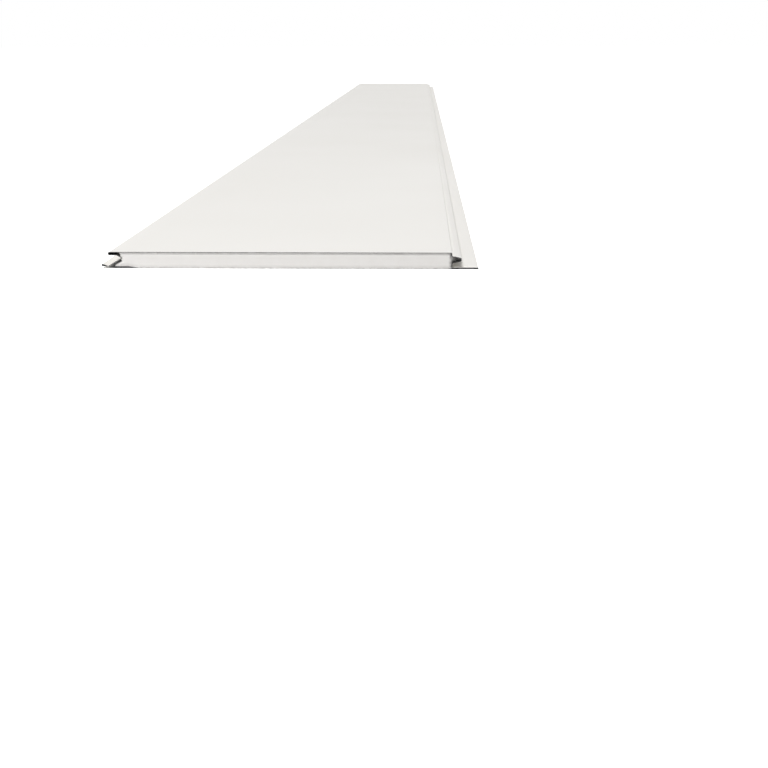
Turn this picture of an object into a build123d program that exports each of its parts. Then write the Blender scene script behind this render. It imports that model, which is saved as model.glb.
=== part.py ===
from build123d import *
import os

os.makedirs("parts", exist_ok=True)

# Wall panel with a roll-formed steel face, a rigid foam core and a foil back.
# X runs across the panel, from the groove edge on -X to the nailing edge on +X.
# Y runs along the panel and Z points out of the wall. The foil lies on Z = 0.
# All sizes are in millimetres.

# Overall sizes
panel_length = 5800.0
panel_thickness = 18.0
face_width = 375.0
sheet_thickness = 0.5
foil_thickness = 0.2

# Joint between two neighbouring panels: the gap that stays visible, and clearances
joint_gap = 8.0
lip_end_clearance = 0.5
nest_clearance = 0.3
tongue_clearance = 0.5

# Groove edge: a folded hem over a hooked lip
hem_length = 9.3
hem_height = 3.6
groove_depth = 14.8
groove_drop = 6.6
groove_bend = 0.5
lip_run = 7.4
lip_end_rise = 2.6
lip_bend = 0.6
lip_hem_length = 6.0
lip_hem_height = 2.7
lip_hem_gap = 0.15

# Nailing edge: a hollow tongue over a flat flange
step_lean = 0.2
step_bend = 0.8
tongue_flat = 3.4
tongue_slope = 1.8
tongue_reach = 10.4
tongue_height = 3.6
tongue_bend = 1.7
cavity_lean = 0.4
cavity_slope = 2.1
root_bend = 0.6
flange_reach = 28.8
flange_hem_length = 4.7
flange_hem_height = 1.6
flange_lift = 0.2

# Straight stretch between the two bends of a folded hem
fold_flat = 0.1

# Core and foil at the two edges
core_lip_bond = 1.8
core_lip_gap = 2.8
core_toe = 7.4
core_toe_height = 1.2
foil_ramp_start = 22.0
foil_ramp_end = 34.0
foil_overlap = 6.8

# Heights and positions that follow from the sizes above
left = -face_width / 2
right = face_width / 2
flange_top = flange_lift + flange_hem_height
tongue_top = panel_thickness - hem_height - tongue_clearance
nest_height = flange_top + nest_clearance
hem_bend = (hem_height - fold_flat) / 2
lip_hem_bend = (lip_hem_height - fold_flat) / 2.4
flange_hem_bend = (flange_hem_height - fold_flat) / 2

# Corners of the groove edge, on the painted side of the sheet
lip_end = Vector(left - joint_gap + lip_end_clearance, nest_height + sheet_thickness + lip_end_rise)
lip_low = Vector(lip_end.X + lip_run, nest_height + sheet_thickness)
groove_corner = Vector(left + groove_depth, panel_thickness - groove_drop)
hem_inner = Vector(left + hem_length, panel_thickness - hem_height)
hem_outer = Vector(left, panel_thickness - hem_height)
face_left = Vector(left, panel_thickness)

# The hem under the end of the lip is a wedge: open at the fold, and closed against the lip at its free edge
lip_run_out = (lip_low - lip_end).normalized()
lip_down = Vector(lip_run_out.Y, -lip_run_out.X)
lip_hem_outer = lip_end - Vector(0, lip_hem_height)
lip_hem_free = lip_end + lip_run_out * lip_hem_length + lip_down * (2 * sheet_thickness + lip_hem_gap)

# Corners of the nailing edge, on the painted side of the sheet
face_right = Vector(right, panel_thickness)
step_foot = Vector(right + step_lean, tongue_top)
tongue_edge = Vector(right + tongue_flat, tongue_top)
tongue_tip = Vector(right + tongue_reach, tongue_top - tongue_slope)
tongue_under = Vector(right + tongue_reach, tongue_tip.Y - tongue_height)
cavity_top = Vector(right + cavity_lean, tongue_under.Y - cavity_slope)
flange_root = Vector(right + cavity_lean, flange_top)
flange_tip = Vector(right + flange_reach, flange_top)
flange_hem_outer = Vector(right + flange_reach, flange_lift)
flange_hem_free = Vector(flange_hem_outer.X - flange_hem_length, flange_lift)

groove_edge = [lip_hem_free, lip_hem_outer, lip_end, lip_low, groove_corner, hem_inner, hem_outer, face_left]
groove_bends = [lip_hem_bend, lip_hem_bend, lip_bend, groove_bend, lip_bend, hem_bend, hem_bend]
tongue_edge_line = [face_right, step_foot, tongue_edge, tongue_tip, tongue_under, cavity_top, flange_root]
tongue_bends = [step_bend, root_bend, tongue_bend, tongue_bend, tongue_bend, root_bend, root_bend]
flange_edge = [flange_tip, flange_hem_outer, flange_hem_free]
flange_bends = [flange_hem_bend, flange_hem_bend]

# Face sheet: one strip of coated steel, folded from the lip round to the flange
with BuildPart() as face_sheet:
    with BuildSketch(Plane.XZ) as sheet_section:
        with BuildLine():
            FilletPolyline(
                groove_edge + tongue_edge_line + flange_edge,
                radius=groove_bends + tongue_bends + flange_bends,
            )
            offset(amount=sheet_thickness, side=Side.RIGHT, kind=Kind.INTERSECTION)
        make_face()
    extrude(amount=panel_length / 2, both=True)
face_sheet.part.label = "face_sheet"

# Back foil: flat under the core, lifted at the groove edge over the next panel's flange
foil_line = [
    Vector(left + core_toe, nest_height),
    Vector(left + foil_ramp_start, nest_height),
    Vector(left + foil_ramp_end, 0),
    Vector(right + foil_overlap, 0),
]
with BuildPart() as back_foil:
    with BuildSketch(Plane.XZ):
        with BuildLine():
            Polyline(foil_line)
            offset(amount=foil_thickness, side=Side.LEFT, kind=Kind.INTERSECTION)
        make_face()
    extrude(amount=panel_length / 2, both=True)
back_foil.part.label = "back_foil"

# Foam core: fills the space between the sheet and the foil, with an air gap under the lip
lip_slope = (groove_corner - lip_low).normalized()
lip_back = Vector(lip_slope.Y, -lip_slope.X)
bond_end = groove_corner - lip_slope * core_lip_bond
gap_corner = bond_end + lip_back * (sheet_thickness + core_lip_gap)
toe_top = Vector(left + core_toe, nest_height + foil_thickness + core_toe_height)
with BuildLine() as face_bond:
    FilletPolyline(
        [Vector(hem_inner.X, panel_thickness)]
        + tongue_edge_line
        + [Vector(right + foil_overlap, flange_top)],
        radius=tongue_bends,
    )
    offset(amount=sheet_thickness, side=Side.RIGHT, kind=Kind.INTERSECTION, closed=False)
with BuildLine() as groove_bond:
    FilletPolyline([bond_end, groove_corner, hem_inner], radius=[groove_bend])
    offset(amount=sheet_thickness, side=Side.RIGHT, kind=Kind.INTERSECTION, closed=False)
with BuildLine() as foil_bond:
    Polyline(foil_line)
    offset(amount=foil_thickness, side=Side.LEFT, kind=Kind.INTERSECTION, closed=False)
with BuildPart() as foam_core:
    with BuildSketch(Plane.XZ):
        with BuildLine():
            add(face_bond.line)
            Line(face_bond.line @ 1, foil_bond.line @ 0)
            add(foil_bond.line)
            Polyline(foil_bond.line @ 1, toe_top, gap_corner, groove_bond.line @ 0)
            add(groove_bond.line)
            Line(groove_bond.line @ 1, face_bond.line @ 0)
        make_face()
    extrude(amount=panel_length / 2, both=True)
foam_core.part.label = "foam_core"

export_step(face_sheet.part, "parts/face_sheet.step")
export_step(foam_core.part, "parts/foam_core.step")
export_step(back_foil.part, "parts/back_foil.step")
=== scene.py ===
"""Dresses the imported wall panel: coated steel sheet, sawn foam core, embossed foil, and a pale stage."""

import math

import bmesh
import bpy
from bpy.props import FloatProperty, FloatVectorProperty, IntProperty, PointerProperty
from mathutils import Euler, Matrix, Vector


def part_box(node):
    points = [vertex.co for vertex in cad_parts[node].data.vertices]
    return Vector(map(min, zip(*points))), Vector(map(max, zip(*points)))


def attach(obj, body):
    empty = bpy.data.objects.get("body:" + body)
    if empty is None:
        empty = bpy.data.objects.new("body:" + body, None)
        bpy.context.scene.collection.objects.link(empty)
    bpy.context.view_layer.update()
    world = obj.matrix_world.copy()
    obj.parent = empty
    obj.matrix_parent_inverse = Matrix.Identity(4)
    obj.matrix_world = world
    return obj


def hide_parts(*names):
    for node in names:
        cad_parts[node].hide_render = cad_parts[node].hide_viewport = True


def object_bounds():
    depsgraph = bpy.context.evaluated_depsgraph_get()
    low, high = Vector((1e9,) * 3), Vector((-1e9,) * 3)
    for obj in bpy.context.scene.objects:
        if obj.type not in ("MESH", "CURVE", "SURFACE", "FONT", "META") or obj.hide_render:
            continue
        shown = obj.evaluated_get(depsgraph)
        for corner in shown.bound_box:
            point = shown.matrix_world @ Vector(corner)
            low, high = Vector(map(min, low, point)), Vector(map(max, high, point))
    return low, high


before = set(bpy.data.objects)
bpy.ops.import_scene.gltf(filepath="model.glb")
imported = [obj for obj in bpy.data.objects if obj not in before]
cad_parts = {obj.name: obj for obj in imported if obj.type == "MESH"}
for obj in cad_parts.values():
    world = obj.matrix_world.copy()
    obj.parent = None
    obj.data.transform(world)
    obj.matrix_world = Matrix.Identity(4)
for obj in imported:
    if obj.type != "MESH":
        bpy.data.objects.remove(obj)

bl_info = {
    "name": "Foam-cored wall panel",
    "version": (1, 0, 0),
    "blender": (4, 5, 0),
    "location": "View3D > Sidebar > Wall panel",
    "description": "Dresses a steel-faced, foam-cored wall panel and its stage",
    "category": "Object",
}

BODY = "root"
MM = 0.001

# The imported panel's box: x across the panel, y along it, z out of the wall
CAD_LOW, CAD_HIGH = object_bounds()
HALF_LENGTH = CAD_HIGH.y


def linear(code):
    """A linear colour from an sRGB hex code such as #f0efea."""
    parts = [int(code[i : i + 2], 16) / 255 for i in (1, 3, 5)]
    return [c / 12.92 if c <= 0.04045 else ((c + 0.055) / 1.055) ** 2.4 for c in parts]


def rgba(colour, factor=1.0):
    """A socket's colour: a colour times one factor, or times one for each of red, green and blue."""
    factors = factor if isinstance(factor, tuple) else (factor, factor, factor)
    return [c * f for c, f in zip(colour, factors)] + [1.0]


def add(tree, kind, inputs=None, **settings):
    """Adds a node with its settings; inputs maps a socket to its value or to the output that feeds it."""
    made = tree.nodes.new(kind)
    for name, value in settings.items():
        setattr(made, name, value)
    for name, value in (inputs or {}).items():
        if isinstance(value, bpy.types.NodeSocket):
            tree.links.new(value, made.inputs[name])
        else:
            made.inputs[name].default_value = value
    return made


# Settings


class SheetSettings(bpy.types.PropertyGroup):
    """Sizes and colours of the coated steel sheet."""

    coat_colour: FloatVectorProperty(
        name="Coating",
        description="Colour of the coil coating on the weather side",
        subtype="COLOR",
        size=3,
        min=0.0,
        max=1.0,
        default=linear("#f0eeea"),
    )
    # The dark grey is partly the primer's own colour and partly painted shade for the hollows in the hem
    # and under the lip, where this side shows.
    primer_and_shade_colour: FloatVectorProperty(
        name="Backing coat",
        description="Colour of the thin primer on the side that faces the foam",
        subtype="COLOR",
        size=3,
        min=0.0,
        max=1.0,
        default=linear("#5c5d5b"),
    )
    # Near black: partly the sheared steel's own dull grey and partly painted shade for the dark line along
    # each cut.
    edge_and_shade_colour: FloatVectorProperty(
        name="Cut edge",
        description="Colour of the bare steel where the sheet was sheared",
        subtype="COLOR",
        size=3,
        min=0.0,
        max=1.0,
        default=linear("#38383a"),
    )
    station: FloatProperty(
        name="Section spacing",
        description="Distance between two cross sections along the panel",
        unit="LENGTH",
        min=0.02,
        default=0.1,
    )
    wave_depth: FloatProperty(
        name="Face wave",
        description="How far the roll-formed face wanders inwards from flat",
        unit="LENGTH",
        min=0.0,
        max=0.3 * MM,
        default=0.12 * MM,
    )
    wave_length: FloatProperty(
        name="Wave length",
        description="Size of one wave in the face",
        unit="LENGTH",
        min=0.1,
        default=0.45,
    )
    seed: IntProperty(name="Seed", description="Seed of the waves", default=3)


class CoreSettings(bpy.types.PropertyGroup):
    """Sizes and colours of the rigid foam core."""

    foam_colour: FloatVectorProperty(
        name="Foam",
        description="Colour of the rigid foam",
        subtype="COLOR",
        size=3,
        min=0.0,
        max=1.0,
        default=linear("#eeecea"),
    )
    grid: FloatProperty(
        name="Grid",
        description="Spacing of the mesh on the two sawn ends",
        unit="LENGTH",
        min=0.5 * MM,
        default=0.9 * MM,
    )
    recess: FloatProperty(
        name="Recess",
        description="How far the saw leaves the foam behind the cut edges of its skins",
        unit="LENGTH",
        min=0.0,
        default=0.25 * MM,
    )
    grain_depth: FloatProperty(
        name="Saw marks",
        description="Depth of the marks that the saw leaves",
        unit="LENGTH",
        min=0.0,
        default=0.18 * MM,
    )
    crumble_depth: FloatProperty(
        name="Crumbled edge",
        description="How deep the foam crumbles away next to its skins",
        unit="LENGTH",
        min=0.0,
        default=1.6 * MM,
    )
    crumble_width: FloatProperty(
        name="Crumbled width",
        description="How wide the crumbled border is",
        unit="LENGTH",
        min=0.5 * MM,
        default=3.6 * MM,
    )
    void_reach: FloatProperty(
        name="Void in the tongue",
        description="How far the foam falls short of the tip of the tongue",
        unit="LENGTH",
        min=1.0 * MM,
        default=13.0 * MM,
    )
    void_depth: FloatProperty(
        name="Void depth",
        description="How deep the voids in the sawn ends are",
        unit="LENGTH",
        min=0.0,
        default=10.0 * MM,
    )
    hollow_radius: FloatProperty(
        name="Void beside the hem",
        description="Radius of the void beside the inner end of the hem",
        unit="LENGTH",
        min=0.5 * MM,
        default=3.4 * MM,
    )
    seed: IntProperty(name="Seed", description="Seed of the saw marks and crumbs", default=11)


class FoilSettings(bpy.types.PropertyGroup):
    """Sizes and colours of the embossed back foil."""

    foil_colour: FloatVectorProperty(
        name="Aluminium",
        description="Colour of the bright aluminium",
        subtype="COLOR",
        size=3,
        min=0.0,
        max=1.0,
        default=linear("#e6e6e8"),
    )
    # The dark grey is painted shade for the dark line along the panel's bottom edge.
    edge_and_shade_colour: FloatVectorProperty(
        name="Slit edge",
        description="Colour of the foil's slit edge, dull with foam dust",
        subtype="COLOR",
        size=3,
        min=0.0,
        max=1.0,
        default=linear("#5a5b5d"),
    )
    emboss_size: FloatProperty(
        name="Emboss",
        description="Size of one bend in the maze of embossed grooves",
        unit="LENGTH",
        min=1.0 * MM,
        default=5.0 * MM,
    )
    crease_height: FloatProperty(
        name="Crease height",
        description="Height of the creases that run along the nailing edge",
        unit="LENGTH",
        min=0.0,
        max=0.12 * MM,
        default=0.1 * MM,
    )
    crease_pitch: FloatProperty(
        name="Crease pitch",
        description="Distance between two creases",
        unit="LENGTH",
        min=3.0 * MM,
        default=5.5 * MM,
    )
    seed: IntProperty(name="Seed", description="Seed of the waves in the foil", default=7)


class StageSettings(bpy.types.PropertyGroup):
    """Lamps, floor and camera."""

    floor_colour: FloatVectorProperty(
        name="Floor",
        description="Colour of the studio floor",
        subtype="COLOR",
        size=3,
        min=0.0,
        max=1.0,
        default=linear("#f0f0ef"),
    )
    floor_lift: FloatProperty(
        name="Floor lift",
        description="How much paler the floor looks to the camera and in reflections than its colour",
        min=1.0,
        default=1.75,
    )
    sky_level: FloatProperty(
        name="Sky level",
        description="Strength of the even light from all round",
        min=0.0,
        default=0.20,
    )
    sun_level: FloatProperty(
        name="Top light",
        description="Strength of the broad light from above",
        min=0.0,
        default=1.95,
    )
    top_power: FloatProperty(
        name="Top lamp",
        description="Power of the soft lamp over the near end",
        unit="POWER",
        min=0.0,
        default=14.5,
    )
    side_power: FloatProperty(
        name="Side lamp",
        description="Power of the soft lamp in front of the near end, to its left",
        unit="POWER",
        min=0.0,
        default=10.3,
    )
    focal_length: FloatProperty(
        name="Focal length",
        description="Focal length of the camera, in millimetres",
        min=10.0,
        default=59.239,
    )


class PanelSettings(bpy.types.PropertyGroup):
    """All settings of the wall panel and its stage."""

    sheet: PointerProperty(type=SheetSettings, name="Sheet", description="Coated steel sheet")
    core: PointerProperty(type=CoreSettings, name="Core", description="Rigid foam core")
    foil: PointerProperty(type=FoilSettings, name="Foil", description="Embossed back foil")
    stage: PointerProperty(type=StageSettings, name="Stage", description="Lamps, floor and camera")


# Finishes


def new_finish(name):
    """An empty node material and its tree."""
    material = bpy.data.materials.new(name)
    material.use_nodes = True
    material.node_tree.nodes.clear()
    return material, material.node_tree


def coil_coating(colour):
    """Polyester coil coating, rolled on and stoved: a satin off-white film with a faint orange peel
    and hardly visible streaks along the rolling direction."""
    material, tree = new_finish("polyester coil coating")
    place = add(tree, "ShaderNodeTexCoord").outputs["Object"]
    # Film thickness drifts over about 400 mm
    drift = add(tree, "ShaderNodeTexNoise", {"Vector": place, "Scale": 1 / 0.4, "Detail": 2.0})
    # Roller streaks, 7 mm apart and about 1.5 m long
    along = add(tree, "ShaderNodeMapping", {"Vector": place, "Scale": (1 / 0.007, 1 / 1.5, 1 / 0.007)})
    streaks = add(tree, "ShaderNodeTexNoise", {"Vector": along.outputs[0], "Scale": 1.0, "Detail": 3.0})
    # Orange peel, about 1.6 mm from crest to crest
    peel = add(
        tree,
        "ShaderNodeTexNoise",
        {"Vector": place, "Scale": 1 / 0.0016, "Detail": 2.0, "Roughness": 0.4},
    )
    # Settled dust, in specks of about 0.5 mm that are drawn at 2 mm to show
    dust = add(
        tree,
        "ShaderNodeTexNoise",
        {"Vector": place, "Scale": 1 / 0.002, "Detail": 3.0, "Roughness": 0.7},
    )
    specks = add(tree, "ShaderNodeMapRange", {"Value": dust.outputs[0], 1: 0.66, 2: 0.74, 3: 0.0, 4: 0.25})
    shade = add(
        tree,
        "ShaderNodeMix",
        {0: drift.outputs[0], 6: rgba(colour), 7: rgba(colour, (0.965, 0.965, 0.955))},
        data_type="RGBA",
    )
    streaked = add(
        tree,
        "ShaderNodeMix",
        {0: streaks.outputs[0], 6: shade.outputs[2], 7: rgba(colour, 0.985)},
        data_type="RGBA",
    )
    dusty = add(
        tree,
        "ShaderNodeMix",
        {0: specks.outputs[0], 6: streaked.outputs[2], 7: rgba(colour, 0.86)},
        data_type="RGBA",
    )
    gloss = add(tree, "ShaderNodeMapRange", {"Value": drift.outputs[0], 1: 0.3, 2: 0.7, 3: 0.46, 4: 0.56})
    relief = add(
        tree,
        "ShaderNodeBump",
        {"Height": peel.outputs[0], "Strength": 0.12, "Distance": 0.00003},
    )
    shader = add(
        tree,
        "ShaderNodeBsdfPrincipled",
        {
            "Base Color": dusty.outputs[2],
            "Roughness": gloss.outputs[0],
            "IOR": 1.5,
            "Specular IOR Level": 0.3,
            "Normal": relief.outputs[0],
        },
    )
    add(tree, "ShaderNodeOutputMaterial", {"Surface": shader.outputs[0]})
    return material


def backing_primer_with_painted_shade(colour):
    """Epoxy backing coat, a few microns thick: matt grey and slightly mottled, under the foam too. Its dark
    grey is partly painted shade for the hollows in the hem and under the lip, where this side shows.
    """
    material, tree = new_finish("epoxy backing primer with painted shade")
    place = add(tree, "ShaderNodeTexCoord").outputs["Object"]
    # Mottling of about 8 mm
    mottle = add(
        tree,
        "ShaderNodeTexNoise",
        {"Vector": place, "Scale": 1 / 0.008, "Detail": 4.0, "Roughness": 0.6},
    )
    # The mottled dark grey is partly painted shade in the hollows where this side shows.
    shade = add(
        tree,
        "ShaderNodeMix",
        {0: mottle.outputs[0], 6: rgba(colour), 7: rgba(colour, 0.8)},
        data_type="RGBA",
    )
    dullness = add(tree, "ShaderNodeMapRange", {"Value": mottle.outputs[0], 3: 0.55, 4: 0.7})
    # Primer grain of about 1 mm
    grain = add(tree, "ShaderNodeTexNoise", {"Vector": place, "Scale": 1 / 0.001, "Detail": 2.0})
    relief = add(
        tree, "ShaderNodeBump", {"Height": grain.outputs[0], "Strength": 0.15, "Distance": 0.00003}
    )
    shader = add(
        tree,
        "ShaderNodeBsdfPrincipled",
        {
            "Base Color": shade.outputs[2],
            "Roughness": dullness.outputs[0],
            "IOR": 1.5,
            "Specular IOR Level": 0.3,
            "Normal": relief.outputs[0],
        },
    )
    add(tree, "ShaderNodeOutputMaterial", {"Surface": shader.outputs[0]})
    return material


def sheared_steel_with_painted_shade(colour):
    """Sheared edge of zinc-coated steel: half burnished, half torn across its thickness, and dull grey,
    drawn darker still as painted shade for the dark line along each cut.
    """
    material, tree = new_finish("sheared zinc-coated steel with painted shade")
    place = add(tree, "ShaderNodeTexCoord").outputs["Object"]
    # Shear marks about 0.3 mm apart, drawn at 1.2 mm to show
    marks = add(
        tree,
        "ShaderNodeTexNoise",
        {"Vector": place, "Scale": 1 / 0.0012, "Detail": 3.0, "Roughness": 0.65},
    )
    # The dark grey of the cut is partly painted shade along each cut.
    shade = add(
        tree,
        "ShaderNodeMix",
        {0: marks.outputs[0], 6: rgba(colour, 0.55), 7: rgba(colour, 1.35)},
        data_type="RGBA",
    )
    dullness = add(
        tree, "ShaderNodeMapRange", {"Value": marks.outputs[0], 1: 0.3, 2: 0.7, 3: 0.38, 4: 0.62}
    )
    relief = add(
        tree, "ShaderNodeBump", {"Height": marks.outputs[0], "Strength": 0.5, "Distance": 0.00005}
    )
    shader = add(
        tree,
        "ShaderNodeBsdfPrincipled",
        {
            "Base Color": shade.outputs[2],
            "Metallic": 1.0,
            "Roughness": dullness.outputs[0],
            "Normal": relief.outputs[0],
        },
    )
    add(tree, "ShaderNodeOutputMaterial", {"Surface": shader.outputs[0]})
    return material


def rigid_foam(colour):
    """Rigid polyurethane foam, foamed in place and sawn: matt, nearly white, with fine cut cells."""
    material, tree = new_finish("rigid polyurethane foam")
    place = add(tree, "ShaderNodeTexCoord").outputs["Object"]
    # Cells of 0.3 mm, drawn at 1 mm to show
    cells = add(tree, "ShaderNodeTexVoronoi", {"Vector": place, "Scale": 1 / 0.001, "Randomness": 1.0})
    # Uneven foaming, about 12 mm across
    clouds = add(
        tree,
        "ShaderNodeTexNoise",
        {"Vector": place, "Scale": 1 / 0.012, "Detail": 4.0, "Roughness": 0.55},
    )
    # Saw marks along the cut, about 1.5 mm apart
    along = add(tree, "ShaderNodeMapping", {"Vector": place, "Scale": (1 / 0.03, 1 / 0.03, 1 / 0.0015)})
    marks = add(tree, "ShaderNodeTexNoise", {"Vector": along.outputs[0], "Scale": 1.0, "Detail": 3.0})
    shade = add(
        tree,
        "ShaderNodeMix",
        {0: clouds.outputs[0], 6: rgba(colour), 7: rgba(colour, (0.94, 0.935, 0.925))},
        data_type="RGBA",
    )
    # The cut cells are darkened a little towards their centres: painted shade in the pores.
    pore_painted_shade = add(
        tree,
        "ShaderNodeMapRange",
        {"Value": cells.outputs["Distance"], 1: 0.0, 2: 0.35, 3: 0.1, 4: 0.0},
    )
    pore_shaded_colour = add(
        tree,
        "ShaderNodeMix",
        {0: pore_painted_shade.outputs[0], 6: shade.outputs[2], 7: rgba(colour, 0.6)},
        data_type="RGBA",
    )
    height = add(
        tree, "ShaderNodeMath", {0: cells.outputs["Distance"], 1: marks.outputs[0]}, operation="ADD"
    )
    relief = add(
        tree, "ShaderNodeBump", {"Height": height.outputs[0], "Strength": 0.35, "Distance": 0.0002}
    )
    shader = add(
        tree,
        "ShaderNodeBsdfPrincipled",
        {
            "Base Color": pore_shaded_colour.outputs[2],
            "Roughness": 0.9,
            "IOR": 1.5,
            "Specular IOR Level": 0.15,
            "Normal": relief.outputs[0],
        },
    )
    add(tree, "ShaderNodeOutputMaterial", {"Surface": shader.outputs[0]})
    return material


def embossed_aluminium(colour, dimple):
    """Soft aluminium foil, embossed between rollers: bright, with a maze of fine grooves that glitters."""
    material, tree = new_finish("embossed aluminium foil")
    place = add(tree, "ShaderNodeTexCoord").outputs["Object"]
    # The rollers leave a maze of fine grooves: the lines where a distorted noise crosses its middle level
    stucco = add(
        tree,
        "ShaderNodeTexNoise",
        {"Vector": place, "Scale": 1 / dimple, "Detail": 2.0, "Roughness": 0.55, "Distortion": 1.1},
    )
    centred = add(tree, "ShaderNodeMath", {0: stucco.outputs[0], 1: 0.5}, operation="SUBTRACT")
    aside = add(tree, "ShaderNodeMath", {0: centred.outputs[0]}, operation="ABSOLUTE")
    crests = add(
        tree,
        "ShaderNodeMapRange",
        {"Value": aside.outputs[0], 1: 0.0, 2: 0.09},
        interpolation_type="SMOOTHSTEP",
    )
    height = add(tree, "ShaderNodeMath", {0: crests.outputs[0], 1: stucco.outputs[0]}, operation="ADD")
    # Handling dulls the foil in patches of about 60 mm
    haze = add(tree, "ShaderNodeTexNoise", {"Vector": place, "Scale": 1 / 0.06, "Detail": 3.0})
    dullness = add(
        tree, "ShaderNodeMapRange", {"Value": haze.outputs[0], 1: 0.3, 2: 0.7, 3: 0.22, 4: 0.34}
    )
    # The grooves are drawn greyer than the burnished crests: painted shade in the hollows of the emboss
    groove_painted_shade = add(
        tree,
        "ShaderNodeMix",
        {0: crests.outputs[0], 6: rgba(colour, 0.34), 7: rgba(colour)},
        data_type="RGBA",
    )
    patches = add(tree, "ShaderNodeMapRange", {"Value": haze.outputs[0], 1: 0.3, 2: 0.7, 3: 0.0, 4: 0.3})
    shade = add(
        tree,
        "ShaderNodeMix",
        {0: patches.outputs[0], 6: groove_painted_shade.outputs[2], 7: rgba(colour, 0.7)},
        data_type="RGBA",
    )
    relief = add(
        tree, "ShaderNodeBump", {"Height": height.outputs[0], "Strength": 0.8, "Distance": 0.0005}
    )
    shader = add(
        tree,
        "ShaderNodeBsdfPrincipled",
        {
            "Base Color": shade.outputs[2],
            "Metallic": 1.0,
            "Roughness": dullness.outputs[0],
            "Normal": relief.outputs[0],
        },
    )
    add(tree, "ShaderNodeOutputMaterial", {"Surface": shader.outputs[0]})
    return material


def slit_aluminium_with_painted_shade(colour):
    """Slit edge of the foil: torn, and much darker than its faces as painted shade for the dark line along
    the panel's bottom edge.
    """
    material, tree = new_finish("slit aluminium edge with painted shade")
    place = add(tree, "ShaderNodeTexCoord").outputs["Object"]
    # Burrs of about 0.5 mm, drawn at 1.5 mm to show
    burrs = add(
        tree,
        "ShaderNodeTexNoise",
        {"Vector": place, "Scale": 1 / 0.0015, "Detail": 3.0, "Roughness": 0.7},
    )
    # Darkened as painted shade along the panel's bottom edge.
    shade = add(
        tree,
        "ShaderNodeMix",
        {0: burrs.outputs[0], 6: rgba(colour, 0.6), 7: rgba(colour)},
        data_type="RGBA",
    )
    relief = add(
        tree, "ShaderNodeBump", {"Height": burrs.outputs[0], "Strength": 0.5, "Distance": 0.00005}
    )
    shader = add(
        tree,
        "ShaderNodeBsdfPrincipled",
        {"Base Color": shade.outputs[2], "Metallic": 1.0, "Roughness": 0.6, "Normal": relief.outputs[0]},
    )
    add(tree, "ShaderNodeOutputMaterial", {"Surface": shader.outputs[0]})
    return material


# Shapes


def section_of(node):
    """The corners of a swept CAD node's section, in order round it, as (x, z) in metres."""
    shape = bmesh.new()
    shape.from_mesh(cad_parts[node].data)
    bmesh.ops.remove_doubles(shape, verts=shape.verts, dist=0.002 * MM)
    near = {v for v in shape.verts if v.co.y < -HALF_LENGTH + 0.01 * MM}
    rim = [
        e
        for e in shape.edges
        if set(e.verts) <= near and not all(set(f.verts) <= near for f in e.link_faces)
    ]
    after = {}
    for edge in rim:
        for one, other in (edge.verts, reversed(edge.verts)):
            after.setdefault(one, []).append(other)
    if not after or any(len(ends) != 2 for ends in after.values()):
        raise RuntimeError(f"the end of {node} is not one closed outline")
    start = min(after, key=lambda v: (v.co.x, v.co.z))
    ring, last = [start], None
    while True:
        here = ring[-1]
        onward = [v for v in after[here] if v is not last]
        last = here
        if onward[0] is start or len(ring) > len(after):
            break
        ring.append(onward[0])
    corners = [Vector((v.co.x, v.co.z)) for v in ring]
    shape.free()
    return corners


def with_points(corners, spacing):
    """The same outline with extra points on every run that is longer than the spacing."""
    finer = []
    for here, there in zip(corners, corners[1:] + corners[:1]):
        count = max(1, math.ceil((there - here).length / spacing))
        finer += [here.lerp(there, i / count) for i in range(count)]
    return finer


def outline_mesh(name, corners, coated):
    """A ring of edges for the sweep, which takes (x, -z) for a section point (x, z).

    coated marks the side that each point is on."""
    mesh = bpy.data.meshes.new(name)
    count = len(corners)
    mesh.from_pydata([(p.x, -p.y, 0) for p in corners], [(i, (i + 1) % count) for i in range(count)], [])
    side = mesh.attributes.new("coated", "FLOAT", "POINT")
    side.data.foreach_set("value", coated)
    return mesh


def new_tree(name, inputs):
    """A Geometry Nodes tree with one geometry in, one out and the named inputs, and its input sockets."""
    tree = bpy.data.node_groups.new(name, "GeometryNodeTree")
    tree.is_modifier = True
    tree.interface.new_socket("Geometry", in_out="INPUT", socket_type="NodeSocketGeometry")
    for label, kind in inputs.items():
        tree.interface.new_socket(label, in_out="INPUT", socket_type=kind)
    tree.interface.new_socket("Geometry", in_out="OUTPUT", socket_type="NodeSocketGeometry")
    return tree, tree.nodes.new("NodeGroupInput").outputs


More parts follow.
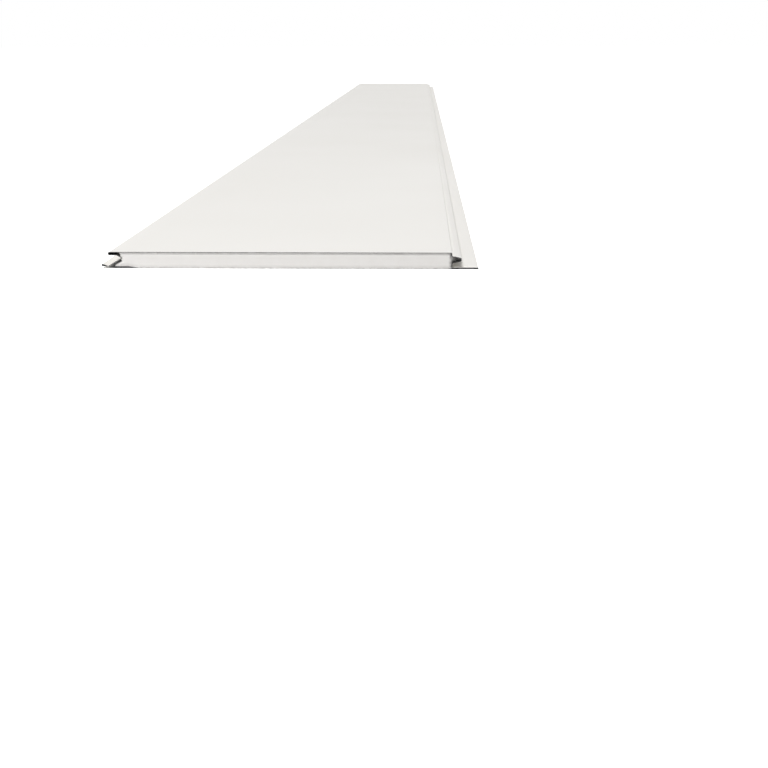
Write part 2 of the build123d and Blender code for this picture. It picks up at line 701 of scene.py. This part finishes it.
def sweep_tree():
    """Sweeps an outline along the panel, bends its flat part by a hair and gives each side its finish."""
    tree, given = new_tree(
        "Swept section",
        {
            "Length": "NodeSocketFloat",
            "Section spacing": "NodeSocketFloat",
            "Flat half width": "NodeSocketFloat",
            "End fade": "NodeSocketFloat",
            "Wave depth": "NodeSocketFloat",
            "Wave length": "NodeSocketFloat",
            "Seed": "NodeSocketInt",
            "Coated side": "NodeSocketMaterial",
            "Back side": "NodeSocketMaterial",
            "Cut edge": "NodeSocketMaterial",
        },
    )
    half = add(tree, "ShaderNodeMath", {0: given["Length"], 1: 0.5}, operation="MULTIPLY").outputs[0]
    back = add(tree, "ShaderNodeMath", {0: half, 1: -1.0}, operation="MULTIPLY").outputs[0]
    start = add(tree, "ShaderNodeCombineXYZ", {"Y": back})
    end = add(tree, "ShaderNodeCombineXYZ", {"Y": half})
    line = add(tree, "GeometryNodeCurvePrimitiveLine", {"Start": start.outputs[0], "End": end.outputs[0]})
    stations = add(
        tree,
        "GeometryNodeResampleCurve",
        {"Curve": line.outputs[0], "Length": given["Section spacing"]},
        mode="LENGTH",
    )
    outline = add(tree, "GeometryNodeMeshToCurve", {"Mesh": given["Geometry"]})
    swept = add(
        tree,
        "GeometryNodeCurveToMesh",
        {"Curve": stations.outputs[0], "Profile Curve": outline.outputs[0], "Fill Caps": True},
    )
    # The wave dies out over the last 40 mm before the folded edges, and towards the two cut ends
    place = add(tree, "GeometryNodeInputPosition").outputs[0]
    apart = add(tree, "ShaderNodeSeparateXYZ", {0: place})
    across = add(tree, "ShaderNodeMath", {0: apart.outputs["X"]}, operation="ABSOLUTE")
    inside = add(
        tree,
        "ShaderNodeMath",
        {0: given["Flat half width"], 1: across.outputs[0]},
        operation="SUBTRACT",
    )
    middle = add(
        tree, "ShaderNodeMapRange", {"Value": inside.outputs[0], 2: 0.04}, interpolation_type="SMOOTHSTEP"
    )
    along = add(tree, "ShaderNodeMath", {0: apart.outputs["Y"]}, operation="ABSOLUTE")
    to_end = add(tree, "ShaderNodeMath", {0: half, 1: along.outputs[0]}, operation="SUBTRACT")
    faded = add(
        tree,
        "ShaderNodeMapRange",
        {"Value": to_end.outputs[0], 2: given["End fade"]},
        interpolation_type="SMOOTHSTEP",
    )
    mask = add(tree, "ShaderNodeMath", {0: middle.outputs[0], 1: faded.outputs[0]}, operation="MULTIPLY")
    scale = add(tree, "ShaderNodeMath", {0: 1.0, 1: given["Wave length"]}, operation="DIVIDE")
    noise = add(
        tree,
        "ShaderNodeTexNoise",
        {"Vector": place, "W": given["Seed"], "Scale": scale.outputs[0], "Detail": 1.0},
        noise_dimensions="4D",
    )
    deep = add(tree, "ShaderNodeMath", {0: noise.outputs[0], 1: given["Wave depth"]}, operation="MULTIPLY")
    shift = add(tree, "ShaderNodeMath", {0: deep.outputs[0], 1: mask.outputs[0]}, operation="MULTIPLY")
    offset = add(tree, "ShaderNodeCombineXYZ", {"Z": shift.outputs[0]})
    waved = add(
        tree, "GeometryNodeSetPosition", {"Geometry": swept.outputs[0], "Offset": offset.outputs[0]}
    )
    # Faces between a coated point and a bare one are the sheet's thickness
    side = add(tree, "GeometryNodeInputNamedAttribute", {"Name": "coated"}, data_type="FLOAT")
    outer = add(tree, "FunctionNodeCompare", {0: side.outputs[0], 1: 0.9}, operation="GREATER_THAN")
    inner = add(tree, "FunctionNodeCompare", {0: side.outputs[0], 1: 0.1}, operation="LESS_THAN")
    real = add(tree, "GeometryNodeRealizeInstances", {"Geometry": waved.outputs[0]})
    cut = add(
        tree, "GeometryNodeSetMaterial", {"Geometry": real.outputs[0], "Material": given["Cut edge"]}
    )
    coat = add(
        tree,
        "GeometryNodeSetMaterial",
        {"Geometry": cut.outputs[0], "Selection": outer.outputs[0], "Material": given["Coated side"]},
    )
    bare = add(
        tree,
        "GeometryNodeSetMaterial",
        {"Geometry": coat.outputs[0], "Selection": inner.outputs[0], "Material": given["Back side"]},
    )
    add(tree, "NodeGroupOutput", {0: bare.outputs[0]})
    return tree


def sawn_end_tree():
    """Roughens the two sawn ends of the core: saw marks all over, and crumbled foam next to the skins."""
    tree, given = new_tree(
        "Sawn ends",
        {
            "Half length": "NodeSocketFloat",
            "Recess": "NodeSocketFloat",
            "Saw marks": "NodeSocketFloat",
            "Crumbled edge": "NodeSocketFloat",
            "Crumbled width": "NodeSocketFloat",
            "Void start": "NodeSocketFloat",
            "Void width": "NodeSocketFloat",
            "Void depth": "NodeSocketFloat",
            "Hollow place": "NodeSocketVector",
            "Hollow radius": "NodeSocketFloat",
            "Seed": "NodeSocketInt",
            "Foam": "NodeSocketMaterial",
        },
    )
    place = add(tree, "GeometryNodeInputPosition").outputs[0]
    apart = add(tree, "ShaderNodeSeparateXYZ", {0: place})
    along = add(tree, "ShaderNodeMath", {0: apart.outputs["Y"]}, operation="ABSOLUTE")
    to_end = add(
        tree, "ShaderNodeMath", {0: given["Half length"], 1: along.outputs[0]}, operation="SUBTRACT"
    )
    at_end = add(tree, "FunctionNodeCompare", {0: to_end.outputs[0], 1: 0.01 * MM}, operation="LESS_THAN")
    # How far each point of an end lies from the foam's long sides, where the skins are
    normal = add(tree, "ShaderNodeSeparateXYZ", {0: add(tree, "GeometryNodeInputNormal").outputs[0]})
    tilt = add(tree, "ShaderNodeMath", {0: normal.outputs["Y"]}, operation="ABSOLUTE")
    is_side = add(tree, "FunctionNodeCompare", {0: tilt.outputs[0], 1: 0.5}, operation="LESS_THAN")
    sides = add(
        tree,
        "GeometryNodeSeparateGeometry",
        {"Geometry": given["Geometry"], "Selection": is_side.outputs[0]},
        domain="FACE",
    )
    nearest = add(tree, "GeometryNodeProximity", {0: sides.outputs[0]}, target_element="FACES")
    border = add(
        tree,
        "ShaderNodeMapRange",
        {"Value": nearest.outputs["Distance"], 2: given["Crumbled width"], 3: 1.0, 4: 0.0},
        interpolation_type="SMOOTHSTEP",
    )
    # Crumbs of about 4 mm with finer ones on them, and saw marks 2 mm apart that run across the panel
    crumbs = add(
        tree,
        "ShaderNodeTexNoise",
        {"Vector": place, "W": given["Seed"], "Scale": 1 / 0.004, "Detail": 3.0, "Roughness": 0.6},
        noise_dimensions="4D",
    )
    torn = add(tree, "ShaderNodeMapRange", {"Value": crumbs.outputs[0], 1: 0.3, 2: 0.7, 3: 0.3, 4: 1.0})
    stretched = add(
        tree,
        "ShaderNodeVectorMath",
        {0: place, 1: (1 / 0.02, 1 / 0.02, 1 / 0.002)},
        operation="MULTIPLY",
    )
    marks = add(
        tree,
        "ShaderNodeTexNoise",
        {"Vector": stretched.outputs[0], "W": given["Seed"], "Scale": 1.0, "Detail": 3.0},
        noise_dimensions="4D",
    )
    crumbled = add(
        tree, "ShaderNodeMath", {0: border.outputs[0], 1: torn.outputs[0]}, operation="MULTIPLY"
    )
    deep = add(
        tree,
        "ShaderNodeMath",
        {0: crumbled.outputs[0], 1: given["Crumbled edge"]},
        operation="MULTIPLY",
    )
    fine = add(tree, "ShaderNodeMath", {0: marks.outputs[0], 1: given["Saw marks"]}, operation="MULTIPLY")
    rough = add(tree, "ShaderNodeMath", {0: deep.outputs[0], 1: fine.outputs[0]}, operation="ADD")
    # The rising foam doesn't fill the tongue: its void deepens outwards, from a border that wanders by 3 mm
    outwards = add(
        tree, "ShaderNodeMath", {0: apart.outputs["X"], 1: given["Void start"]}, operation="SUBTRACT"
    )
    ragged = add(tree, "ShaderNodeMapRange", {"Value": crumbs.outputs[0], 3: -0.003, 4: 0.003})
    reached = add(tree, "ShaderNodeMath", {0: outwards.outputs[0], 1: ragged.outputs[0]}, operation="ADD")
    opening = add(
        tree,
        "ShaderNodeMapRange",
        {"Value": reached.outputs[0], 2: given["Void width"]},
        interpolation_type="SMOOTHSTEP",
    )
    void = add(
        tree, "ShaderNodeMath", {0: opening.outputs[0], 1: given["Void depth"]}, operation="MULTIPLY"
    )
    # A smaller one beside the inner end of the hem
    flat = add(tree, "ShaderNodeVectorMath", {0: place, 1: (1.0, 0.0, 1.0)}, operation="MULTIPLY")
    away = add(
        tree,
        "ShaderNodeVectorMath",
        {0: flat.outputs[0], 1: given["Hollow place"]},
        operation="DISTANCE",
    )
    near = add(
        tree,
        "ShaderNodeMapRange",
        {"Value": away.outputs["Value"], 2: given["Hollow radius"], 3: 1.0, 4: 0.0},
        interpolation_type="SMOOTHSTEP",
    )
    hollow = add(
        tree, "ShaderNodeMath", {0: near.outputs[0], 1: given["Void depth"]}, operation="MULTIPLY"
    )
    deepest = add(tree, "ShaderNodeMath", {0: void.outputs[0], 1: hollow.outputs[0]}, operation="MAXIMUM")
    both = add(tree, "ShaderNodeMath", {0: rough.outputs[0], 1: deepest.outputs[0]}, operation="ADD")
    total = add(tree, "ShaderNodeMath", {0: both.outputs[0], 1: given["Recess"]}, operation="ADD")
    sign = add(tree, "ShaderNodeMath", {0: apart.outputs["Y"]}, operation="SIGN")
    inward = add(tree, "ShaderNodeMath", {0: sign.outputs[0], 1: -1.0}, operation="MULTIPLY")
    shift = add(tree, "ShaderNodeMath", {0: total.outputs[0], 1: inward.outputs[0]}, operation="MULTIPLY")
    offset = add(tree, "ShaderNodeCombineXYZ", {"Y": shift.outputs[0]})
    sawn = add(
        tree,
        "GeometryNodeSetPosition",
        {"Geometry": given["Geometry"], "Selection": at_end.outputs[0], "Offset": offset.outputs[0]},
    )
    real = add(tree, "GeometryNodeRealizeInstances", {"Geometry": sawn.outputs[0]})
    foam = add(tree, "GeometryNodeSetMaterial", {"Geometry": real.outputs[0], "Material": given["Foam"]})
    add(tree, "NodeGroupOutput", {0: foam.outputs[0]})
    return tree


def finished_piece(name, mesh, tree, values, node):
    """Runs a tree on a mesh and leaves the result as a plain piece that stands for a CAD node."""
    piece = bpy.data.objects.new(name, mesh)
    modifier = piece.modifiers.new(tree.name, "NODES")
    modifier.node_group = tree
    for item in tree.interface.items_tree:
        if item.in_out == "INPUT" and item.name in values:
            modifier[item.identifier] = values[item.name]
    bpy.context.scene.collection.objects.link(piece)
    graph = bpy.context.evaluated_depsgraph_get()
    result = bpy.data.meshes.new_from_object(piece.evaluated_get(graph), depsgraph=graph)
    piece.modifiers.clear()
    piece.data = result
    result.name = name
    if not result.polygons:
        raise RuntimeError(f"{name} came out empty")
    shape = bmesh.new()
    shape.from_mesh(result)
    if shape.calc_volume(signed=True) < 0:
        bmesh.ops.reverse_faces(shape, faces=shape.faces)
    shape.to_mesh(result)
    shape.free()
    result.shade_smooth()
    result.set_sharp_from_angle(angle=math.radians(32))
    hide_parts(node)
    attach(piece, BODY)
    return piece


def sheet_sides(corners):
    """Marks each corner of a folded sheet's outline 1 on its coated side and 0 on its bare side."""
    count = len(corners)
    # A free end is a square turn across the 0.5 mm of the sheet, and a square turn back
    thinnest, thickest = 0.3 * MM, 0.8 * MM
    ends = []
    for i in range(count):
        before, here, there, after = (corners[(i + k) % count] for k in (-1, 0, 1, 2))
        run = there - here
        into, out = here - before, after - there
        square = abs(into.normalized().dot(run.normalized())) < 0.1
        returns = into.normalized().dot(out.normalized()) < -0.95
        if square and returns and thinnest < run.length < thickest:
            ends.append(i)
    if len(ends) != 2:
        raise RuntimeError(f"the sheet's outline has {len(ends)} free ends and not two")
    first = [(ends[0] + 1 + k) % count for k in range((ends[1] - ends[0]) % count)]
    top = max(range(count), key=lambda i: corners[i].y)
    coated = set(first) if top in first else set(range(count)) - set(first)
    return [1.0 if i in coated else 0.0 for i in range(count)]


def foil_sides(corners):
    """Marks each corner of the foil's outline 1 on its outer face and 0 on the face against the foam."""
    first = min(range(len(corners)), key=lambda i: (round(corners[i].x, 6), corners[i].y))
    last = max(range(len(corners)), key=lambda i: (round(corners[i].x, 6), -corners[i].y))
    count = len(corners)
    run = [(first + k) % count for k in range((last - first) % count + 1)]
    middle = corners[run[len(run) // 2]]
    beside = 1.5 * MM
    across = [p.y for p in corners if abs(p.x - middle.x) < beside]
    below = middle.y < sum(across) / len(across)
    outer = set(run) if below else set(range(count)) - set(run) | {first, last}
    return [1.0 if i in outer else 0.0 for i in range(count)]


# Operators


class WALL_OT_sheet(bpy.types.Operator):
    """Make the folded steel sheet, with its coating, primer and cut edges"""

    bl_idname = "wall_panel.sheet"
    bl_label = "Coated steel sheet"

    def execute(self, context):
        given = context.scene.wall_panel.sheet
        corners = section_of("face_sheet")
        marked = sheet_sides(corners)
        # Points are added only inside a run, so a new point is on the side of both its neighbours
        finer = with_points(corners, spacing=0.02)
        places = {tuple(p): mark for p, mark in zip(corners, marked)}
        coated, last = [], marked[0]
        for point in finer:
            last = places.get(tuple(point), last)
            coated.append(last)
        finished_piece(
            "coated_sheet",
            outline_mesh("sheet outline", finer, coated),
            sweep_tree(),
            {
                "Length": 2 * HALF_LENGTH,
                "Section spacing": given.station,
                "Flat half width": 0.172,
                "End fade": 0.25,
                "Wave depth": -given.wave_depth,
                "Wave length": given.wave_length,
                "Seed": given.seed,
                "Coated side": coil_coating(given.coat_colour),
                "Back side": backing_primer_with_painted_shade(given.primer_and_shade_colour),
                "Cut edge": sheared_steel_with_painted_shade(given.edge_and_shade_colour),
            },
            "face_sheet",
        )
        return {"FINISHED"}


class WALL_OT_core(bpy.types.Operator):
    """Make the rigid foam core, with its two sawn ends"""

    bl_idname = "wall_panel.core"
    bl_label = "Rigid foam core"

    def execute(self, context):
        given = context.scene.wall_panel.core
        corners = section_of("foam_core")
        shape = bmesh.new()
        end = shape.faces.new([shape.verts.new((p.x, -HALF_LENGTH, p.y)) for p in corners])
        # The first end is cut into a grid, and the long sides and the second end are drawn out of it
        low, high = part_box("foam_core")
        hollow_inset = 3 * MM
        for axis, first, last in ((0, low.x, high.x), (2, low.z, high.z)):
            count = round((last - first) / given.grid)
            for i in range(1, count):
                cut = Vector((0, 0, 0))
                cut[axis] = first + (last - first) * i / count
                across = Vector((0, 0, 0))
                across[axis] = 1
                geometry = shape.verts[:] + shape.edges[:] + shape.faces[:]
                bmesh.ops.bisect_plane(shape, geom=geometry, dist=0.01 * MM, plane_co=cut, plane_no=across)
        bmesh.ops.triangulate(shape, faces=[f for f in shape.faces if len(f.verts) > 4])
        # They are made one by one, because an extrusion lists the long sides in another order each run
        rim = [e for e in shape.edges if e.is_boundary]
        first_end = shape.faces[:]
        along = Vector((0, 2 * HALF_LENGTH, 0))
        far = {v: shape.verts.new(v.co + along) for v in shape.verts[:]}
        for face in first_end:
            shape.faces.new([far[v] for v in face.verts])
        for one, other in (e.verts for e in rim):
            shape.faces.new((one, other, far[other], far[one]))
        bmesh.ops.recalc_face_normals(shape, faces=shape.faces)
        mesh = bpy.data.meshes.new("core")
        shape.to_mesh(mesh)
        shape.free()
        finished_piece(
            "sawn_core",
            mesh,
            sawn_end_tree(),
            {
                "Half length": HALF_LENGTH,
                "Recess": given.recess,
                "Saw marks": given.grain_depth,
                "Crumbled edge": given.crumble_depth,
                "Crumbled width": given.crumble_width,
                "Void start": high.x - given.void_reach,
                "Void width": given.void_reach * 0.8,
                "Void depth": given.void_depth,
                "Hollow place": (low.x + hollow_inset, 0.0, high.z - hollow_inset),
                "Hollow radius": given.hollow_radius,
                "Seed": given.seed,
                "Foam": rigid_foam(given.foam_colour),
            },
            "foam_core",
        )
        return {"FINISHED"}


class WALL_OT_foil(bpy.types.Operator):
    """Make the embossed aluminium foil on the back, with the creases along its nailing edge"""

    bl_idname = "wall_panel.foil"
    bl_label = "Embossed back foil"

    def execute(self, context):
        given = context.scene.wall_panel.foil
        corners = with_points(section_of("back_foil"), spacing=0.004)
        # Three creases beside the nailing edge, with fine points where they rise
        crease_width, crease_reach = 1.0 * MM, 2.4 * MM
        edge = max(p.x for p in corners)
        middles = [edge - given.crease_pitch * k for k in (1.5, 2.5, 3.5)]
        fine = with_points(corners, spacing=0.0008)
        kept = set(map(tuple, corners))
        corners = [p for p in fine if tuple(p) in kept or any(abs(p.x - m) < crease_reach for m in middles)]
        for point in corners:
            for m in middles:
                point.y += given.crease_height * math.exp(-(((point.x - m) / crease_width) ** 2))
        foil = embossed_aluminium(given.foil_colour, given.emboss_size)
        finished_piece(
            "embossed_foil",
            outline_mesh("foil outline", corners, foil_sides(corners)),
            sweep_tree(),
            {
                "Length": 2 * HALF_LENGTH,
                "Section spacing": 0.04,
                "Flat half width": 0.15,
                "End fade": 0.1,
                "Wave depth": 0.07 * MM,
                "Wave length": 0.05,
                "Seed": given.seed,
                "Coated side": foil,
                "Back side": foil,
                "Cut edge": slit_aluminium_with_painted_shade(given.edge_and_shade_colour),
            },
            "back_foil",
        )
        return {"FINISHED"}


def white_rays(tree):
    """A socket that is 1 for rays that show a white studio: the camera's, reflected or through glass."""
    ray = add(tree, "ShaderNodeLightPath").outputs
    seen = add(
        tree, "ShaderNodeMath", {0: ray["Is Camera Ray"], 1: ray["Is Glossy Ray"]}, operation="MAXIMUM"
    )
    white = add(
        tree, "ShaderNodeMath", {0: seen.outputs[0], 1: ray["Is Transmission Ray"]}, operation="MAXIMUM"
    )
    return white.outputs[0]


class WALL_OT_stage(bpy.types.Operator):
    """Make the floor, the light and the camera"""

    bl_idname = "wall_panel.stage"
    bl_label = "Studio stage"

    def execute(self, context):
        given = context.scene.wall_panel.stage
        scene = context.scene
        scene.view_settings.view_transform = "Standard"

        # The world lights the panel evenly, and the camera, metal and glass see it white
        world = bpy.data.worlds.new("studio")
        scene.world = world
        world.use_nodes = True
        tree = world.node_tree
        tree.nodes.clear()
        light = add(tree, "ShaderNodeBackground", {"Color": (1, 1, 1, 1), "Strength": given.sky_level})
        backdrop = add(tree, "ShaderNodeBackground", {"Color": (1, 1, 1, 1), "Strength": 1.0})
        mixed = add(
            tree,
            "ShaderNodeMixShader",
            {0: white_rays(tree), 1: light.outputs[0], 2: backdrop.outputs[0]},
        )
        add(tree, "ShaderNodeOutputWorld", {"Surface": mixed.outputs[0]})

        # Painted studio floor: matt and pale, and as white as the backdrop where no shadow falls
        material, tree = new_finish("matt studio floor paint")
        place = add(tree, "ShaderNodeTexCoord").outputs["Object"]
        cloud = add(tree, "ShaderNodeTexNoise", {"Vector": place, "Scale": 1.5, "Detail": 3.0})
        shade = add(
            tree,
            "ShaderNodeMix",
            {0: cloud.outputs[0], 6: rgba(given.floor_colour), 7: rgba(given.floor_colour, 0.98)},
            data_type="RGBA",
        )
        # The lift stops under the panel, so that the narrow gap under its raised edge stays darker
        lift_inset = 0.012
        apart = add(tree, "ShaderNodeSeparateXYZ", {0: place})
        across = add(tree, "ShaderNodeMath", {0: apart.outputs["X"]}, operation="ABSOLUTE")
        along = add(tree, "ShaderNodeMath", {0: apart.outputs["Y"]}, operation="ABSOLUTE")
        beside = add(
            tree,
            "ShaderNodeMath",
            {0: across.outputs[0], 1: -CAD_LOW.x - lift_inset},
            operation="GREATER_THAN",
        )
        beyond = add(
            tree, "ShaderNodeMath", {0: along.outputs[0], 1: HALF_LENGTH}, operation="GREATER_THAN"
        )
        outside = add(
            tree, "ShaderNodeMath", {0: beside.outputs[0], 1: beyond.outputs[0]}, operation="MAXIMUM"
        )
        raised = add(
            tree, "ShaderNodeMath", {0: white_rays(tree), 1: outside.outputs[0]}, operation="MULTIPLY"
        )
        lift = add(tree, "ShaderNodeMapRange", {"Value": raised.outputs[0], 3: 1.0, 4: given.floor_lift})
        lifted = add(
            tree,
            "ShaderNodeVectorMath",
            {0: shade.outputs[2], "Scale": lift.outputs[0]},
            operation="SCALE",
        )
        matt = add(tree, "ShaderNodeBsdfDiffuse", {"Color": lifted.outputs[0]})
        add(tree, "ShaderNodeOutputMaterial", {"Surface": matt.outputs[0]})
        mesh = bpy.data.meshes.new("floor")
        reach = 60.0
        corners = [(-reach, -reach, 0), (reach, -reach, 0), (reach, reach, 0), (-reach, reach, 0)]
        mesh.from_pydata(corners, [], [(0, 1, 2, 3)])
        mesh.materials.append(material)
        floor = bpy.data.objects.new("floor", mesh)
        scene.collection.objects.link(floor)

        # A broad light from above, a little from the front and the left, reaches the whole floor
        sun = bpy.data.lights.new("top light", "SUN")
        sun.energy = given.sun_level
        sun.angle = math.radians(24)
        light = bpy.data.objects.new("top light", sun)
        light.rotation_euler = Euler([math.radians(a) for a in (14, -9, 0)])
        scene.collection.objects.link(light)

        # Two soft lamps: one over the near end, and one in front of it, to its left
        for name, power, size, place, target in (
            ("top lamp", given.top_power, 1.6, (-0.4, -3.6, 3.0), (0.0, -2.4, 0.0)),
            ("side lamp", given.side_power, 0.7, (-1.15, -4.0, 0.2), (0.0, -2.9, 0.0)),
        ):
            lamp = bpy.data.lights.new(name, "AREA")
            lamp.shape = "SQUARE"
            lamp.size = size
            lamp.energy = power
            light = bpy.data.objects.new(name, lamp)
            light.location = place
            light.rotation_euler = (Vector(target) - light.location).to_track_quat("-Z", "Y").to_euler()
            scene.collection.objects.link(light)

        # The camera stands 1.36 m before the near end, 220 mm over the face, and looks 15 degrees down
        camera = bpy.data.cameras.new("camera")
        camera.sensor_width = 36.0
        camera.lens = given.focal_length
        camera.clip_start, camera.clip_end = 0.01, 200.0
        view = bpy.data.objects.new("camera", camera)
        view.location = (0.153416, -4.257892, 0.237817)
        view.rotation_euler = Euler([math.radians(a) for a in (74.8728, 0.1305, 1.6506)])
        scene.collection.objects.link(view)
        scene.camera = view
        return {"FINISHED"}


class WALL_PT_sidebar(bpy.types.Panel):
    """The wall panel's settings and the steps that make it"""

    bl_idname = "WALL_PT_sidebar"
    bl_label = "Wall panel"
    bl_space_type = "VIEW_3D"
    bl_region_type = "UI"
    bl_category = "Wall panel"

    def draw(self, context):
        settings = context.scene.wall_panel
        for group, step in (
            (settings.sheet, "wall_panel.sheet"),
            (settings.core, "wall_panel.core"),
            (settings.foil, "wall_panel.foil"),
            (settings.stage, "wall_panel.stage"),
        ):
            box = self.layout.box()
            for name in group.__annotations__:
                box.prop(group, name)
            box.operator(step)


CLASSES = (
    SheetSettings,
    CoreSettings,
    FoilSettings,
    StageSettings,
    PanelSettings,
    WALL_OT_sheet,
    WALL_OT_core,
    WALL_OT_foil,
    WALL_OT_stage,
    WALL_PT_sidebar,
)


def register():
    for kind in CLASSES:
        bpy.utils.register_class(kind)
    bpy.types.Scene.wall_panel = PointerProperty(type=PanelSettings)


def unregister():
    del bpy.types.Scene.wall_panel
    for kind in reversed(CLASSES):
        bpy.utils.unregister_class(kind)


def main():
    """Registers the classes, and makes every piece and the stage."""
    register()
    bpy.ops.wall_panel.sheet()
    bpy.ops.wall_panel.core()
    bpy.ops.wall_panel.foil()
    bpy.ops.wall_panel.stage()


if __name__ == "__main__":
    main()
